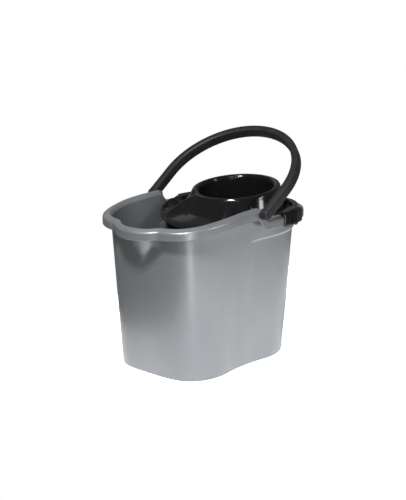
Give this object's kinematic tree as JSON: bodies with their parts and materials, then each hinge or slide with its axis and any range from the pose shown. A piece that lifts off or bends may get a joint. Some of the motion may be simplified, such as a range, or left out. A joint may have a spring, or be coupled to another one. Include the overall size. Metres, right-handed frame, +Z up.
{
  "type": "mop bucket with wringer",
  "caption": "Oval plastic mop bucket with pouring spout, waisted sides, leaning bail handle and a lift-off conical wringer set over one end.",
  "frame": {"origin": "on the floor under the bucket's waist, on the plane of symmetry", "axes": "+Z up, +X from the spout towards the wringer end, +Y to the bucket's left seen from the wringer end"},
  "size_m": [0.392, 0.2878, 0.4089],
  "materials": {
    "silver_plastic": "silver-grey moulded polypropylene with fine metallic flake and a satin gloss",
    "charcoal_plastic": "charcoal moulded polypropylene, satin, with a fine grain",
    "black_plastic": "black moulded polypropylene, glossy"
  },
  "bodies": {
    "bucket": {"bucket_body": "silver_plastic"},
    "bail": {"handle": "charcoal_plastic"},
    "wringer": {"wringer_hood": "black_plastic", "wringer_basket": "black_plastic", "rim_clip_left": "black_plastic", "rim_clip_right": "black_plastic"}
  },
  "joints": [
    {"name": "handle_swing", "type": "hinge", "parent": "bucket", "child": "bail", "pos_m": [0.0115, 0, 0.2859], "axis": [0, 1, 0], "range_deg": [-136, 24]},
    {"name": "wringer_lift", "type": "slide", "parent": "bucket", "child": "wringer", "axis": [0, 0, 1], "range_m": [0, 0.012]}
  ]
}
